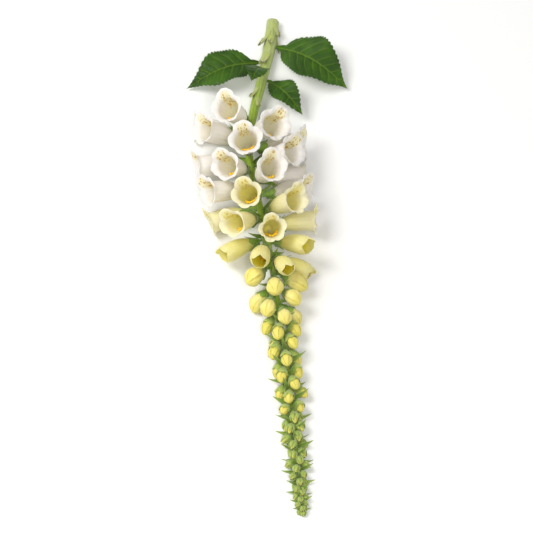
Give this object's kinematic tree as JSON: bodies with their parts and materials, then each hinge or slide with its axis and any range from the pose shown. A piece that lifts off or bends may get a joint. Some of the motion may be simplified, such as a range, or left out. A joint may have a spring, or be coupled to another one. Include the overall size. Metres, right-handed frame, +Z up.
{
  "type": "foxglove flower spike",
  "caption": "A cut foxglove spike lying on its side: a tapering green stem with hanging white and cream bells, yellow opening buds, tight green buds to the tip, and toothed leaves near the cut",
  "frame": {"origin": "on the flat spot under the stem, 12 mm from its cut end, where the stem rests on the surface", "axes": "+Z up from the surface; +Y along the spike from the tip to the cut end; +X to the right seen from above with the cut end away from the viewer"},
  "size_m": [0.1776, 0.6046, 0.0897],
  "materials": {
    "stem_green": "matte",
    "petal_white": "satin",
    "petal_cream": "satin",
    "petal_yellow": "satin",
    "leaf_green": "matte"
  },
  "bodies": {
    "root": {"stem": "stem_green", "bell_01": "petal_white", "bell_02": "petal_white", "bell_03": "petal_white", "bell_04": "petal_white", "bell_05": "petal_white", "bell_06": "petal_white", "bell_07": "petal_white", "bell_08": "petal_white", "bell_09": "petal_white", "bell_10": "petal_white", "bell_11": "petal_white", "bell_12": "petal_white", "bell_13": "petal_white", "bell_14": "petal_cream", "bell_15": "petal_cream", "bell_16": "petal_cream", "bell_17": "petal_cream", "bell_18": "petal_cream", "bell_19": "petal_cream", "opening_bell_01": "petal_cream", "opening_bell_02": "petal_cream", "opening_bell_03": "petal_cream", "opening_bell_04": "petal_cream", "opening_bell_05": "petal_cream", "yellow_bud_01": "petal_yellow", "yellow_bud_02": "petal_yellow", "yellow_bud_03": "petal_yellow", "yellow_bud_04": "petal_yellow", "yellow_bud_05": "petal_yellow", "yellow_bud_06": "petal_yellow", "yellow_bud_07": "petal_yellow", "yellow_bud_08": "petal_yellow", "leaf_01": "leaf_green", "leaf_02": "leaf_green", "leaf_03": "leaf_green", "leaf_04": "leaf_green"}
  },
  "joints": []
}
